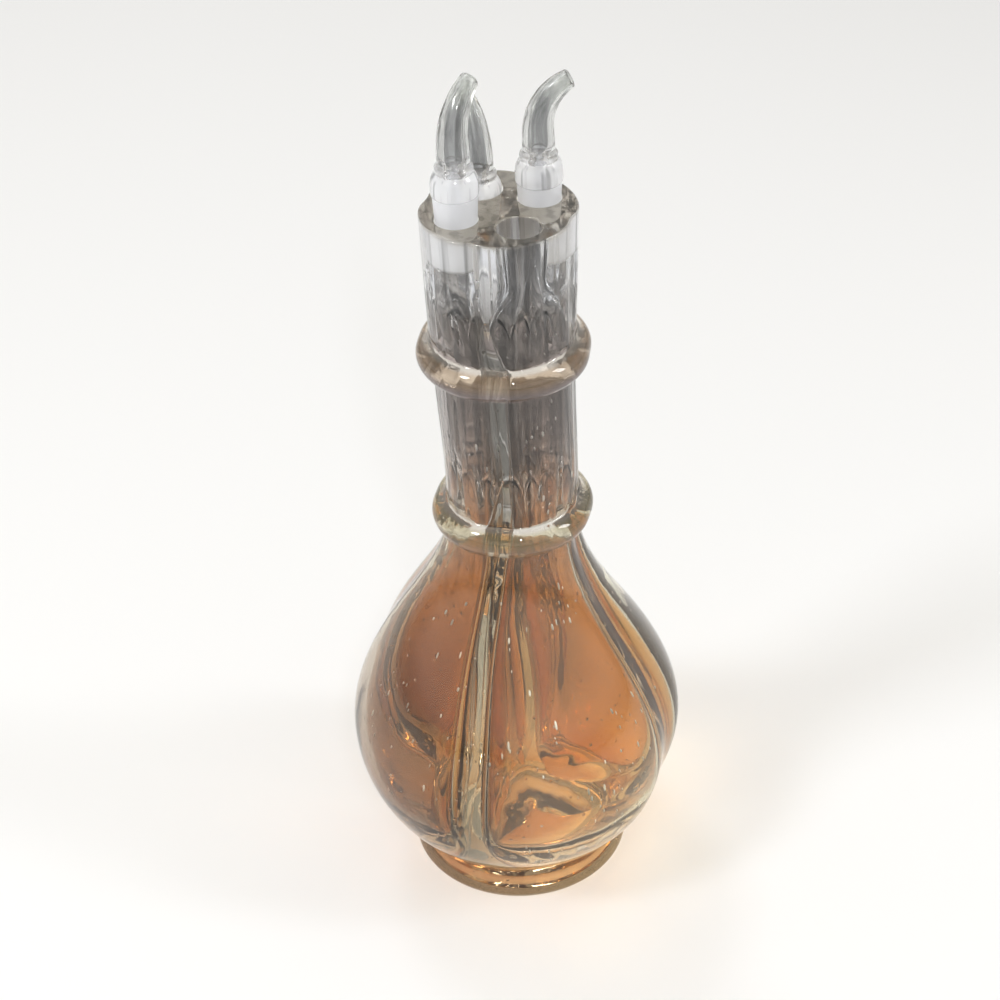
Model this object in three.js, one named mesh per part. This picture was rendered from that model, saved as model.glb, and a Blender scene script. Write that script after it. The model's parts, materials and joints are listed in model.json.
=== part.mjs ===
// A hand-blown liquor decanter with four chambers fused side by side.
//
// Each chamber is one gather of glass: a belly that is a quarter of the globe, a neck tube that is a
// quarter of the neck, and a ground mouth in the flat top. Two bands of glass wound round the neck and
// an applied foot hold the four together. Three of the mouths carry a pouring spout: a ground plug, a
// clear collar and a bent horn, with one channel from the plug to the tip. The fourth mouth is open.
//
// Millimetres, +Z up. The origin is the middle of the foot's resting ring, on the table. The pieces are
// built with the walls between the chambers in the XZ and YZ planes, then turned together by TURNED.

import * as THREE from "three";

// Heights above the table
const NECK_TOP = 280;
const SHOULDER_TOP = 156;
const BELLY_HEIGHT = 61;
const FOOT_HEIGHT = 12;

// Outer radii
const FOOT_WAIST_RADIUS = 38;
const FOOT_SPREAD = 4; // how far the foot's rim stands out from the waist
const BELLY_RADIUS = 63.2;
const NECK_RADIUS = 24;
const TOP_RADIUS = 26.8;

// Thickness of the glass
const WALL = 4;
const NECK_WALL = 3.4;
const BELLY_WEB = 6.4; // between two bellies
const NECK_WEB = 5; // between two neck tubes
const FLOOR = 11; // under a chamber
const FUSED_GAP = 0.3; // left between pieces that are fused on the real decanter

// The outer skin dips where two chambers meet
const GROOVE_DEPTH = 0.05; // as a share of the radius
const GROOVE_WIDTH = 11; // degrees
const GROOVE_START = 30; // height over which the groove grows from nothing above the foot

// Chambers
const DOME_HEIGHT = 30; // rounded bottom of a chamber
const CORNER_SHARPNESS = 5; // higher means tighter corners in the chamber's section
const POLISHED_EDGE = 0.8;
const MOUTH_BEVEL = 0.5;
const QUARTER_MIDDLE = 0.4; // from a side to the middle of the quarter, as a share of the side

// Mouths and ground plugs
const MOUTH_OFFSET = 15.2; // from the decanter's axis to a mouth's axis
const PLUG_LENGTH = 22;
const PLUG_TOP_RADIUS = 7.5;
const PLUG_TAPER = 0.05; // loss of radius per unit of length
const GROUND_CLEARANCE = 0.3;
const SEAT_PAST_PLUG = 2; // the ground seat runs a little deeper than the plug
const SEAT_TO_NECK = 16; // length over which the round seat opens to the tube's own section

// Spouts above the plug
const COLLAR_HEIGHT = 10.2;
const COLLAR_RADIUS = 8;
const COLLAR_STEP = 1.3; // height over which the plug widens to the collar
const HORN_ROOT_RADIUS = 5.5;
const HORN_TIP_RADIUS = 3.2;
const HORN_STRAIGHT = 8;
const HORN_BEND_RADIUS = 20;
const HORN_BEND = THREE.MathUtils.degToRad(60);
const CHANNEL_RADIUS = 2.1; // up through the plug and the collar
const HORN_BORE = 0.55; // radius of the channel in the horn, as a share of the horn's radius

// Neck bands: a round rod wound on the neck, its middle sunk below the skin
const UPPER_BAND_HEIGHT = 226.5;
const LOWER_BAND_HEIGHT = 160;
const BAND_ROD_RADIUS = 6.2;
const BAND_SUNK = 1;
const BORE_PINCH = 0.9; // how far a hot band draws the tube walls in
const PINCH_LENGTH = 8;

// Foot
const FOOT_RIM = 5; // width of the flat resting ring
const FOOT_EDGE = 1.5;
const FOOT_LIP = 0.6; // how far the foot stands out under the waist
const KICK_UP = 4.5;

// How far round +Z the whole decanter stands from the layout it is built in
const TURNED = THREE.MathUtils.degToRad(-20);

// How far each plug stands out of its mouth. The rear mouth is wide enough for the collar to sink in.
const RIGHT_PLUG_SHOWS = 6;
const LEFT_PLUG_SHOWS = 9;
const REAR_COLLAR_SINKS = 4;

// Which quarter each chamber fills, and where its spout points, measured from +X on the finished decanter
const CHAMBERS = [
  { name: "front", turn: 3, proud: RIGHT_PLUG_SHOWS, pointing: null },
  { name: "right", turn: 0, proud: RIGHT_PLUG_SHOWS, pointing: THREE.MathUtils.degToRad(0) },
  { name: "rear", turn: 1, proud: -REAR_COLLAR_SINKS, pointing: THREE.MathUtils.degToRad(118) },
  { name: "left", turn: 2, proud: LEFT_PLUG_SHOWS, pointing: THREE.MathUtils.degToRad(53) },
];

// How finely the curved skins are cut
const ARC_STEPS = 14;
const SIDE_STEPS = 5;
const ROUND_STEPS = 40;
const SPOUT_STEPS = 16;

const RIGHT_ANGLE = Math.PI / 2;
const clearGlass = new THREE.MeshStandardMaterial({ color: 0xe9efe6, roughness: 0.04, metalness: 0 });
const groundGlass = new THREE.MeshStandardMaterial({ color: 0xf1f4f4, roughness: 0.25, metalness: 0 });

const smooth = (low, high, value) => THREE.MathUtils.smoothstep(value, low, high);
const mix = THREE.MathUtils.lerp;

// Outer profile: three Bezier curves of radius against height, each leaving where the last one ends
const flat = (radius, height) => new THREE.Vector2(radius, height);
const bowl = new THREE.CubicBezierCurve(
  flat(FOOT_WAIST_RADIUS, FOOT_HEIGHT),
  flat(mix(FOOT_WAIST_RADIUS, BELLY_RADIUS, 0.5), mix(FOOT_HEIGHT, BELLY_HEIGHT, 0.2)),
  flat(BELLY_RADIUS, mix(FOOT_HEIGHT, BELLY_HEIGHT, 0.54)),
  flat(BELLY_RADIUS, BELLY_HEIGHT),
);
const shoulder = new THREE.CubicBezierCurve(
  flat(BELLY_RADIUS, BELLY_HEIGHT),
  flat(BELLY_RADIUS, mix(BELLY_HEIGHT, SHOULDER_TOP, 0.37)),
  flat(mix(NECK_RADIUS, BELLY_RADIUS, 0.02), mix(BELLY_HEIGHT, SHOULDER_TOP, 0.68)),
  flat(NECK_RADIUS, SHOULDER_TOP),
);
const neck = new THREE.CubicBezierCurve(
  flat(NECK_RADIUS, SHOULDER_TOP),
  flat(NECK_RADIUS, mix(SHOULDER_TOP, NECK_TOP, 0.35)),
  flat(mix(NECK_RADIUS, TOP_RADIUS, 0.6), mix(SHOULDER_TOP, NECK_TOP, 0.6)),
  flat(TOP_RADIUS, NECK_TOP),
);

// Radius of the outer profile at a height, by halving the curve's parameter
function radiusAt(height) {
  const curve = height < BELLY_HEIGHT ? bowl : height < SHOULDER_TOP ? shoulder : neck;
  let low = 0;
  let high = 1;
  for (let step = 0; step < 30; step++) {
    const middle = (low + high) / 2;
    if (curve.getPoint(middle).y < height) low = middle;
    else high = middle;
  }
  return curve.getPoint(low).x;
}

// Radius of the grooved skin. The angle is measured from one wall between chambers, 0 to 90 degrees.
function skinRadius(height, angle) {
  const away = THREE.MathUtils.radToDeg(Math.min(angle, RIGHT_ANGLE - angle));
  const dip = GROOVE_DEPTH * Math.exp(-((away / GROOVE_WIDTH) ** 2));
  return radiusAt(height) * (1 - dip * smooth(FOOT_HEIGHT, FOOT_HEIGHT + GROOVE_START, height));
}

// Underside of the body, inside the foot: a shallow bowl under the waist
const SEAT_DROP = 5;
function undersideHeight(radius) {
  const share = Math.min(radius / FOOT_WAIST_RADIUS, 1);
  return FOOT_HEIGHT - SEAT_DROP * (1 - share ** 4);
}

// Joins loops of equal length into one skin. A loop of a single point is a pole, and a skin without
// poles closes on its first loop.
function skin(loops) {
  const corners = [];
  const count = Math.max(...loops.map((loop) => loop.length));
  const at = (loop, index) => loop[loop.length === 1 ? 0 : index % count];
  const closed = loops[0].length > 1;
  const bands = closed ? loops.length : loops.length - 1;
  for (let band = 0; band < bands; band++) {
    const lower = loops[band];
    const upper = loops[(band + 1) % loops.length];
    for (let index = 0; index < count; index++) {
      const [a, b] = [at(lower, index), at(lower, index + 1)];
      const [c, d] = [at(upper, index + 1), at(upper, index)];
      if (lower.length > 1) corners.push(a, b, upper.length > 1 ? c : d);
      if (upper.length > 1) corners.push(a, c, d);
    }
  }
  return new THREE.BufferGeometry().setFromPoints(corners);
}

// One quarter of the decanter's outline at a height: the grooved arc, then in along one flat side to
// the axis and out along the other. The quarter is the one where x and y are both positive.
function quarterOutline(height, inset = 0) {
  const edge = FUSED_GAP / 2;
  const points = [];
  for (let step = 0; step <= ARC_STEPS; step++) {
    // the steps crowd towards the grooves, where the skin bends most
    const angle = (RIGHT_ANGLE / 2) * (1 - Math.cos((Math.PI * step) / ARC_STEPS));
    const radius = skinRadius(height, angle) - inset;
    const x = Math.max(radius * Math.cos(angle), edge);
    const y = Math.max(radius * Math.sin(angle), edge);
    points.push(new THREE.Vector3(x, y, height));
  }
  // the side points lie at even angles round the middle of the quarter
  const reach = points[0].x;
  const middle = reach * QUARTER_MIDDLE;
  const widest = Math.atan((reach - middle) / (middle - edge));
  const along = (share) => middle + (middle - edge) * Math.tan(mix(widest, -Math.PI / 4, share));
  for (let step = 1; step <= SIDE_STEPS; step++)
    points.push(new THREE.Vector3(edge, along(step / SIDE_STEPS), height));
  for (let step = SIDE_STEPS - 1; step > 0; step--)
    points.push(new THREE.Vector3(along(step / SIDE_STEPS), edge, height));
  return points;
}

// Radius of a spout at a depth below the collar's underside: the ground plug, and above it the step
// out to the collar
function plugRadius(depth) {
  if (depth > 0) return PLUG_TOP_RADIUS - PLUG_TAPER * depth;
  return mix(PLUG_TOP_RADIUS, COLLAR_RADIUS, Math.min(-depth / COLLAR_STEP, 1));
}

// How far the inside of a chamber reaches from its own middle, in one direction. The bounds are the
// two webs and the outer wall; a power mean of the three distances rounds the corners.
function chamberReach(direction, middle, web, outer) {
  const [c, s] = [Math.cos(direction), Math.sin(direction)];
  const toWall = -middle * (c + s) + Math.sqrt((middle * (c + s)) ** 2 + outer ** 2 - 2 * middle ** 2);
  const distances = [toWall];
  if (c < 0) distances.push((web - middle) / c);
  if (s < 0) distances.push((web - middle) / s);
  const sum = distances.reduce((total, distance) => total + distance ** -CORNER_SHARPNESS, 0);
  return sum ** (-1 / CORNER_SHARPNESS);
}

// The inside of a chamber at a height, point for point with the outline around it
function chamberSection(height, proud, widened = 0) {
  const seatBottom = seatEnd(proud);
  const round = smooth(seatBottom - SEAT_TO_NECK, seatBottom, height);
  const upTheNeck = smooth(BELLY_HEIGHT, SHOULDER_TOP, height);
  const outer = radiusAt(height) - mix(WALL, NECK_WALL, upTheNeck);
  const web = mix(BELLY_WEB, NECK_WEB, upTheNeck) / 2;
  const own = (Math.SQRT2 * web + outer) / 2;
  const middle = mix(own, MOUTH_OFFSET, round) / Math.SQRT2;
  const domeTop = chamberFloor() + DOME_HEIGHT;
  const dome = height < domeTop ? Math.sqrt(1 - ((domeTop - height) / DOME_HEIGHT) ** 2) : 1;
  const seat = plugRadius(proud + NECK_TOP - Math.max(height, seatBottom)) + GROUND_CLEARANCE + widened;
  const bands = [UPPER_BAND_HEIGHT, LOWER_BAND_HEIGHT];
  const pinch = Math.max(...bands.map((band) => Math.exp(-(((height - band) / PINCH_LENGTH) ** 2))));
  return quarterOutline(height).map((point) => {
    const direction = Math.atan2(point.y - middle, point.x - middle);
    const free = chamberReach(direction, middle, web, outer) * dome - BORE_PINCH * pinch;
    const reach = mix(free, seat, round);
    return new THREE.Vector3(
      middle + reach * Math.cos(direction),
      middle + reach * Math.sin(direction),
      height,
    );
  });
}

function chamberFloor() {
  return FOOT_HEIGHT - SEAT_DROP + FLOOR;
}

// Height of the lower end of the ground seat
const seatEnd = (proud) => NECK_TOP - (PLUG_LENGTH - proud) - SEAT_PAST_PLUG;

function chamber(proud) {
  const loops = [];

  // underside: the waist outline shrunk towards a pole, following the shallow bowl
  const waist = quarterOutline(FOOT_HEIGHT);
  const hub = new THREE.Vector3(FOOT_WAIST_RADIUS * 0.4, FOOT_WAIST_RADIUS * 0.4, 0);
  for (const share of [0, 0.5, 1]) {
    const ring = waist.map((point) => {
      const moved = hub.clone().lerp(point, share);
      return moved.setZ(undersideHeight(Math.hypot(moved.x, moved.y)));
    });
    loops.push(share ? ring : ring.slice(0, 1));
  }

  // outer skin
  const skinHeights = [
    ...bowl.getPoints(6).slice(1),
    ...shoulder.getPoints(9).slice(1),
    ...neck.getPoints(5).slice(1, -1),
  ].map((point) => point.y);
  for (const height of skinHeights) loops.push(quarterOutline(height));

  // polished edge, flat top and mouth
  const top = quarterOutline(NECK_TOP - POLISHED_EDGE);
  loops.push(top);
  loops.push(quarterOutline(NECK_TOP, POLISHED_EDGE));
  loops.push(chamberSection(NECK_TOP, proud, MOUTH_BEVEL));
  loops.push(chamberSection(NECK_TOP - MOUTH_BEVEL, proud));
  if (proud < 0) {
    // the collar sinks into this mouth, which steps out to take it
    loops.push(chamberSection(NECK_TOP + proud + COLLAR_STEP, proud));
    loops.push(chamberSection(NECK_TOP + proud, proud));
  }

  // inside, from the ground seat down to the rounded floor
  const seatBottom = seatEnd(proud);
  const floor = chamberFloor();
  const insideHeights = [
    seatBottom,
    seatBottom - SEAT_TO_NECK / 3,
    seatBottom - (SEAT_TO_NECK * 2) / 3,
    seatBottom - SEAT_TO_NECK,
    UPPER_BAND_HEIGHT,
    UPPER_BAND_HEIGHT - PINCH_LENGTH,
    mix(LOWER_BAND_HEIGHT, UPPER_BAND_HEIGHT, 0.5),
    LOWER_BAND_HEIGHT + PINCH_LENGTH,
    LOWER_BAND_HEIGHT,
    ...shoulder.getPoints(8).slice(1, -1).map((point) => point.y).reverse(),
    BELLY_HEIGHT,
    ...[0.45, 0.75, 0.92].map((share) => floor + DOME_HEIGHT * Math.sqrt(1 - share ** 2)),
    floor + DOME_HEIGHT * 0.16,
    floor + DOME_HEIGHT * 0.04,
  ];
  for (const height of insideHeights) loops.push(chamberSection(height, proud));
  const last = chamberSection(floor, proud);
  loops.push(last.slice(0, 1));
  return skin(loops);
}

// A band wound round the neck. Its section is the part of a round rod that stands out of the neck, and
// its inner face follows the grooved skin.
function neckBand(height) {
  const rod = BAND_ROD_RADIUS;
  const centre = radiusAt(height) - BAND_SUNK;
  const steps = 8;
  const sections = [];
  for (let turn = 0; turn < ROUND_STEPS; turn++) {
    const around = (turn * 2 * Math.PI) / ROUND_STEPS;
    const inner = (z) => skinRadius(z, around % RIGHT_ANGLE) + FUSED_GAP;
    const half = Math.sqrt(rod ** 2 - (inner(height) - centre) ** 2);
    const start = Math.atan2(half, inner(height) - centre);
    const profile = [];
    for (let step = 0; step <= steps; step++) {
      const angle = mix(-start, start, step / steps);
      const z = height + rod * Math.sin(angle);
      profile.push([Math.max(centre + rod * Math.cos(angle), inner(z)), z]);
    }
    profile.push([inner(height), height]);
    sections.push(
      profile.map(([radius, z]) => new THREE.Vector3(radius * Math.cos(around), radius * Math.sin(around), z)),
    );
  }
  return skin(sections.reverse());
}

// The applied foot: a disc that flares to its rim, dished to take the body, with a kick-up below
function foot() {
  const rim = FOOT_WAIST_RADIUS + FOOT_SPREAD;
  const inside = rim - FOOT_EDGE - FOOT_RIM;
  const profile = [flat(0, KICK_UP), flat(inside * 0.5, KICK_UP * 0.78), flat(inside * 0.85, KICK_UP * 0.25)];
  profile.push(flat(inside, 0), flat(rim - FOOT_EDGE, 0));
  profile.push(flat(rim - FOOT_EDGE * 0.3, FOOT_EDGE * 0.3), flat(rim, FOOT_EDGE));
  profile.push(flat(mix(FOOT_WAIST_RADIUS, rim, 0.62), FOOT_HEIGHT * 0.5));
  profile.push(flat(mix(FOOT_WAIST_RADIUS, rim, 0.28), FOOT_HEIGHT * 0.8));
  profile.push(flat(FOOT_WAIST_RADIUS + FOOT_LIP, FOOT_HEIGHT - FUSED_GAP));
  for (const share of [0.97, 0.9, 0.8, 0.65, 0.45, 0])
    profile.push(flat(FOOT_WAIST_RADIUS * share, undersideHeight(FOOT_WAIST_RADIUS * share) - FUSED_GAP));
  return new THREE.LatheGeometry(profile, ROUND_STEPS).rotateX(RIGHT_ANGLE);
}

// A pouring spout. Its own origin is the collar's underside, and the horn bends towards +X.
function spout() {
  // a station is a distance along the middle line, which runs up and then round the bend
  const bendStart = COLLAR_HEIGHT + HORN_STRAIGHT;
  const hornEnd = bendStart + HORN_BEND_RADIUS * HORN_BEND;
  const loop = (along, radius) => {
    const bend = Math.max(0, along - bendStart) / HORN_BEND_RADIUS;
    const middle = new THREE.Vector3(
      HORN_BEND_RADIUS * (1 - Math.cos(bend)),
      0,
      Math.min(along, bendStart) + HORN_BEND_RADIUS * Math.sin(bend),
    );
    const across = new THREE.Vector3(Math.cos(bend), 0, -Math.sin(bend));
    return Array.from({ length: SPOUT_STEPS }, (_, index) => {
      const angle = (index * 2 * Math.PI) / SPOUT_STEPS;
      return middle
        .clone()
        .addScaledVector(across, radius * Math.cos(angle))
        .add(new THREE.Vector3(0, radius * Math.sin(angle), 0));
    });
  };
  const hornRadius = (share) => mix(HORN_ROOT_RADIUS, HORN_TIP_RADIUS, share ** 1.6);
  const outside = [
    loop(-PLUG_LENGTH, plugRadius(PLUG_LENGTH) - POLISHED_EDGE),
    loop(-PLUG_LENGTH + POLISHED_EDGE, plugRadius(PLUG_LENGTH - POLISHED_EDGE)),
    loop(0, PLUG_TOP_RADIUS),
    loop(COLLAR_STEP, COLLAR_RADIUS),
    loop(COLLAR_HEIGHT * 0.45, COLLAR_RADIUS),
    loop(COLLAR_HEIGHT * 0.75, mix(HORN_ROOT_RADIUS, COLLAR_RADIUS, 0.72)),
    loop(COLLAR_HEIGHT * 0.93, mix(HORN_ROOT_RADIUS, COLLAR_RADIUS, 0.3)),
    loop(COLLAR_HEIGHT, HORN_ROOT_RADIUS),
  ];
  const horn = hornEnd - COLLAR_HEIGHT;
  for (const share of [0.2, 0.4, 0.52, 0.64, 0.76, 0.88, 1])
    outside.push(loop(COLLAR_HEIGHT + horn * share, hornRadius(share)));
  outside.push(loop(hornEnd + HORN_TIP_RADIUS * 0.3, HORN_TIP_RADIUS * 0.86));
  outside.push(loop(hornEnd + HORN_TIP_RADIUS * 0.3, HORN_TIP_RADIUS * HORN_BORE));
  const channel = [
    ...[1, 0.85, 0.7, 0.55, 0.4, 0.25].map((share) =>
      loop(COLLAR_HEIGHT + horn * share, hornRadius(share) * HORN_BORE),
    ),
    loop(COLLAR_HEIGHT + HORN_ROOT_RADIUS * 0.4, HORN_ROOT_RADIUS * HORN_BORE),
    loop(COLLAR_HEIGHT, CHANNEL_RADIUS),
    loop(-PLUG_LENGTH, CHANNEL_RADIUS),
  ];
  return skin([...outside, ...channel]);
}

function named(name, geometry, material) {
  const mesh = new THREE.Mesh(geometry, material);
  mesh.name = name;
  return mesh;
}

const decanter = new THREE.Group();
const body = new THREE.Group();
body.rotation.z = TURNED;
decanter.add(body);

for (const { name, turn, proud, pointing } of CHAMBERS) {
  const quarter = new THREE.Group();
  quarter.rotation.z = turn * RIGHT_ANGLE;
  quarter.add(named(`chamber_${name}`, chamber(proud), clearGlass));
  if (pointing !== null) {
    const piece = named(`spout_${name}`, spout(), groundGlass);
    piece.position.set(MOUTH_OFFSET / Math.SQRT2, MOUTH_OFFSET / Math.SQRT2, NECK_TOP + proud);
    piece.rotation.z = pointing - quarter.rotation.z - TURNED;
    quarter.add(piece);
  }
  body.add(quarter);
}

body.add(named("upper_neck_band", neckBand(UPPER_BAND_HEIGHT), clearGlass));
body.add(named("lower_neck_band", neckBand(LOWER_BAND_HEIGHT), clearGlass));
body.add(named("foot", foot(), clearGlass));

export default decanter;
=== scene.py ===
# %% [markdown]
# # A four-chamber liqueur decanter in blown glass
#
# Four gathers of glass are blown side by side and fused while hot, so that one decanter holds four
# liqueurs. Each chamber has its own neck tube and its own ground mouth. Two glass rods are wound round
# the neck, a foot is pressed on below, and bent pouring spouts stand in three of the four mouths.
#
# The measured model gives every size and every moving body, and this file dresses it.

# %% Load the measured model
import json

import bmesh
import bpy
import mathutils
import numpy as np
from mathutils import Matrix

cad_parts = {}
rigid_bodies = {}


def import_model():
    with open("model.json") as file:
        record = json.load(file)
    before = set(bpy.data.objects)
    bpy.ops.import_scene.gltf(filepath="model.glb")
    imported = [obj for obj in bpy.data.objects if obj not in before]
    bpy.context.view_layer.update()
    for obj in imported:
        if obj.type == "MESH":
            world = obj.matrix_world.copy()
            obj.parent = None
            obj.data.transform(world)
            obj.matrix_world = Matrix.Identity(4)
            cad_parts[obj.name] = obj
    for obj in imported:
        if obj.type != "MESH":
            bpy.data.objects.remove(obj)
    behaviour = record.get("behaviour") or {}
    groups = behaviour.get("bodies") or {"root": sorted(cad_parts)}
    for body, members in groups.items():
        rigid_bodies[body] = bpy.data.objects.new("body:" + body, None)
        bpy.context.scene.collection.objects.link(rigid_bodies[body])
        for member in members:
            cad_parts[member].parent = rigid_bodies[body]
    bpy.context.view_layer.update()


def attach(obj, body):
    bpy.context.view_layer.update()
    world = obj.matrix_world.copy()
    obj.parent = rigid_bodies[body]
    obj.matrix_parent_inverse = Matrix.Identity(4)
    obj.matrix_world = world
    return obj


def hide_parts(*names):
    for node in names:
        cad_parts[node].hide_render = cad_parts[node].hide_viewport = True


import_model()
MM = 0.001

# %% [markdown]
# ## The sizes that everything shares
#
# A glass blower thinks in heights above the table and radii from the axis, so the same list drives the
# skin, the chambers and the spouts. The numbers are the measured model's own, in millimetres, a hair
# smaller where the skin has to stay inside it. A box read back from it can't say how thick a wall is.

# %% Sizes in millimetres
NECK_TOP, SHOULDER_TOP, BELLY_HEIGHT, FOOT_HEIGHT = 280.0, 156.0, 61.0, 12.0
FOOT_RADIUS, WAIST_RADIUS, BELLY_RADIUS, NECK_RADIUS, TOP_RADIUS = 42.0, 38.0, 62.9, 24.0, 26.7
WALL, NECK_WALL, BELLY_WEB, NECK_WEB = 4.0, 3.4, 6.7, 5.3
CHAMBER_FLOOR, DOME_HEIGHT = 18.0, 30.0
FOOT_EDGE, RESTING_RING, KICK_UP = 1.5, 5.0, 4.5
MOUTH_OFFSET, PLUG_LENGTH, PLUG_RADIUS, PLUG_TAPER = 15.2, 22.0, 7.5, 0.05
COLLAR_HEIGHT, COLLAR_RADIUS, COLLAR_STEP = 10.2, 8.0, 1.3
BAND_HEIGHTS, BAND_ROD, BAND_SUNK = (160.0, 226.5), 6.2, 1.0
TURNED = np.radians(-20)
QUARTER = np.pi / 2

# name, quarter turns from the right-hand chamber, how far the plug stands out, where the horn points
CHAMBERS = [
    ("right", 0, 6.0, 0.0),
    ("rear", 1, -4.0, 118.0),
    ("left", 2, 9.0, 53.0),
    ("front", 3, 6.0, None),
]


def smooth(low, high, value):
    """0 below low, 1 above high and 3t^2 - 2t^3 between them."""
    t = np.clip((value - low) / (high - low), 0, 1)
    return t * t * (3 - 2 * t)


def mix(a, b, share):
    """a at share 0, b at share 1, on a straight line."""
    return a + (b - a) * share


def bell(value, middle, reach, power=2):
    """e to the minus x to the power, where x is the distance from the middle over the reach."""
    return np.exp(-(((value - middle) / reach) ** power))


def from_web(angle):
    """How far an angle is from the nearest wall between two chambers."""
    return np.minimum(angle % QUARTER, QUARTER - angle % QUARTER)


def away_from_bands(height):
    """How far a height is from the middle of the nearest neck band."""
    return np.min([np.abs(height - band) for band in BAND_HEIGHTS], axis=0)


print("height to the flat top:", NECK_TOP, "mm, widest:", 2 * BELLY_RADIUS, "mm")

# %% [markdown]
# ## The colours in the glass
#
# The glass is clear, but no old bottle glass is quite colourless. Iron leaves it grey-green where a web
# is thick, and the bellies, the bands and the foot have a honey tone that deepens where the light goes
# through many walls. The tints here are deeper than the glass's own, though: the deep honey low down is
# partly painted, the brown of a table seen through the glass, and the dark grey of the neck is partly
# painted shade, a dark grey background seen through it. A ray picks up about the square root of the tint
# at each surface that it crosses.
# So the tint is kept at each point of the mesh, as a list of heights and colours for the outer skin and
# another for the chamber walls. One colour for the whole material would make the neck as warm as the
# belly.

# %% Tints against height
# height, red, green and blue; the deep browns low down and the dark greys of the neck are partly painted:
# a brown table and a dark grey background seen through the glass
OUTER_TINTS = [
    (0, 0.86, 0.76, 0.62),
    (2, 0.54, 0.28, 0.10),
    (16, 0.58, 0.335, 0.145),
    (26, 0.72, 0.60, 0.40),
    (60, 0.78, 0.71, 0.55),
    (150, 0.76, 0.70, 0.55),
    (175, 0.76, 0.68, 0.60),
    (196, 0.42, 0.38, 0.365),
    (226, 0.46, 0.43, 0.42),
    (245, 0.58, 0.55, 0.54),
    (258, 0.80, 0.82, 0.86),
    (278, 0.80, 0.82, 0.86),
    (280, 0.50, 0.47, 0.42),
]
# the chamber walls: the deep honey low down and the grey of the neck are partly painted in the same way
CHAMBER_TINTS = [
    (18, 0.76, 0.475, 0.225),
    (120, 0.73, 0.425, 0.19),
    (150, 0.74, 0.48, 0.27),
    (172, 0.86, 0.66, 0.52),
    (186, 0.65, 0.59, 0.555),
    (202, 0.585, 0.535, 0.505),
    (250, 0.61, 0.59, 0.57),
    (262, 0.56, 0.545, 0.53),
    # painted shade: the walls turn dark just below the top, so the open front mouth, which has no white seat,
    # reads as a dark hole
    (268, 0.20, 0.19, 0.18),
    (278, 0.14, 0.13, 0.12),
]
WEB_TINTS = [(50, 0.20, 0.19, 0.13), (110, 0.66, 0.56, 0.40)]
NECK_WEB_TINT, WEB_TINT_WIDTH = np.array((0.14, 0.135, 0.12)), np.radians(13)
# how far up from the foot a web takes its colour, where it changes to the neck's, where that ends
WEB_TINT_RISE, WEB_TINT_CHANGE, NECK_WEB_END = 14, (SHOULDER_TOP - 16, SHOULDER_TOP + 10), (258, 250)
# for each band, the colour of its lower and of its upper half: its amber, with painted shade making the
# lower half darker and greyer
BAND_TINTS_AND_PAINTED_SHADE = np.array([[(0.44, 0.36, 0.27), (0.48, 0.42, 0.26)], [(0.36, 0.29, 0.28), (0.47, 0.34, 0.22)]])
# painted highlights: a near-white line along the lower edge of each band and a paler one along its upper
# edge, and how far from the band's middle they lie
PAINTED_BAND_EDGE_TINTS = np.array([(0.95, 0.93, 0.90), (0.62, 0.58, 0.52)])
BAND_TINT_SPLIT, PAINTED_BAND_EDGE, BAND_TINT_FADE = 2, (4.6, 5.8), 1.2
TOP_TINT, SEAT_TINT = (0.37, 0.335, 0.275), (1.0, 1.0, 1.0)
# the horn's grey, the bore's darker grey, which is painted shade inside the channel, and the worn tip
SPOUT_TINT, BORE_TINT, TIP_TINT = np.array([(0.77, 0.78, 0.77), (0.64, 0.65, 0.67), (0.78, 0.80, 0.78)])
COLLAR_TINT, PLUG_TINT = np.array([(0.97, 0.98, 1.0), (0.82, 0.83, 0.86)])
# painted shading: deeper tints towards -X, paler towards +X, strongest low down and in slow waves
PAINTED_SIDE_SHADING, PAINTED_SIDE_SHADING_REACH, PAINTED_SIDE_SHADING_DOUBLES, PAINTED_SIDE_SHADING_FADE = (0.15, 0.19, 0.17), 60, (80, 25), 30
PAINTED_SIDE_SHADING_WAVE, PAINTED_SIDE_SHADING_WAVE_UP, PAINTED_SIDE_SHADING_WAVE_BACK = 0.25, 17, 25
# two painted patches of the outer skin: painted shade, the brown of a table seen through the wall, low on
# the left, and painted light, pale, in front: the middle across and up and the reach across and up in
# millimetres, and the share of each colour that it takes, below zero where it gives
PAINTED_PATCHES = [
    ((-54.0, 42.0), (22.0, 30.0), (0.58, 0.73, 0.81)),
    ((10.0, 85.0), (13.0, 60.0), (-0.28, -0.42, -0.55)),
]


def tint_at(stops, height):
    """The colour at each height, on straight lines between the stops."""
    heights, *channels = np.transpose(stops)
    return np.stack([np.interp(height, heights, channel) for channel in channels], axis=-1)


def with_painted_side_shading(tints, points):
    """Painted shading: the tints deeper towards -X and paler towards +X, most of all low down, in slow waves.
    """
    across, back, height = np.moveaxis(points, -1, 0)
    share = across / PAINTED_SIDE_SHADING_REACH * (1 + smooth(*PAINTED_SIDE_SHADING_DOUBLES, height))
    share = share + PAINTED_SIDE_SHADING_WAVE * np.sin(height / PAINTED_SIDE_SHADING_WAVE_UP + back / PAINTED_SIDE_SHADING_WAVE_BACK)
    share = share * smooth(SHOULDER_TOP, SHOULDER_TOP - PAINTED_SIDE_SHADING_FADE, height)
    return np.clip(tints * (1 + share[..., None] * np.array(PAINTED_SIDE_SHADING)), 0, 1)


print("belly tint:", OUTER_TINTS[4][1:], "chamber tint:", CHAMBER_TINTS[1][1:])

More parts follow.
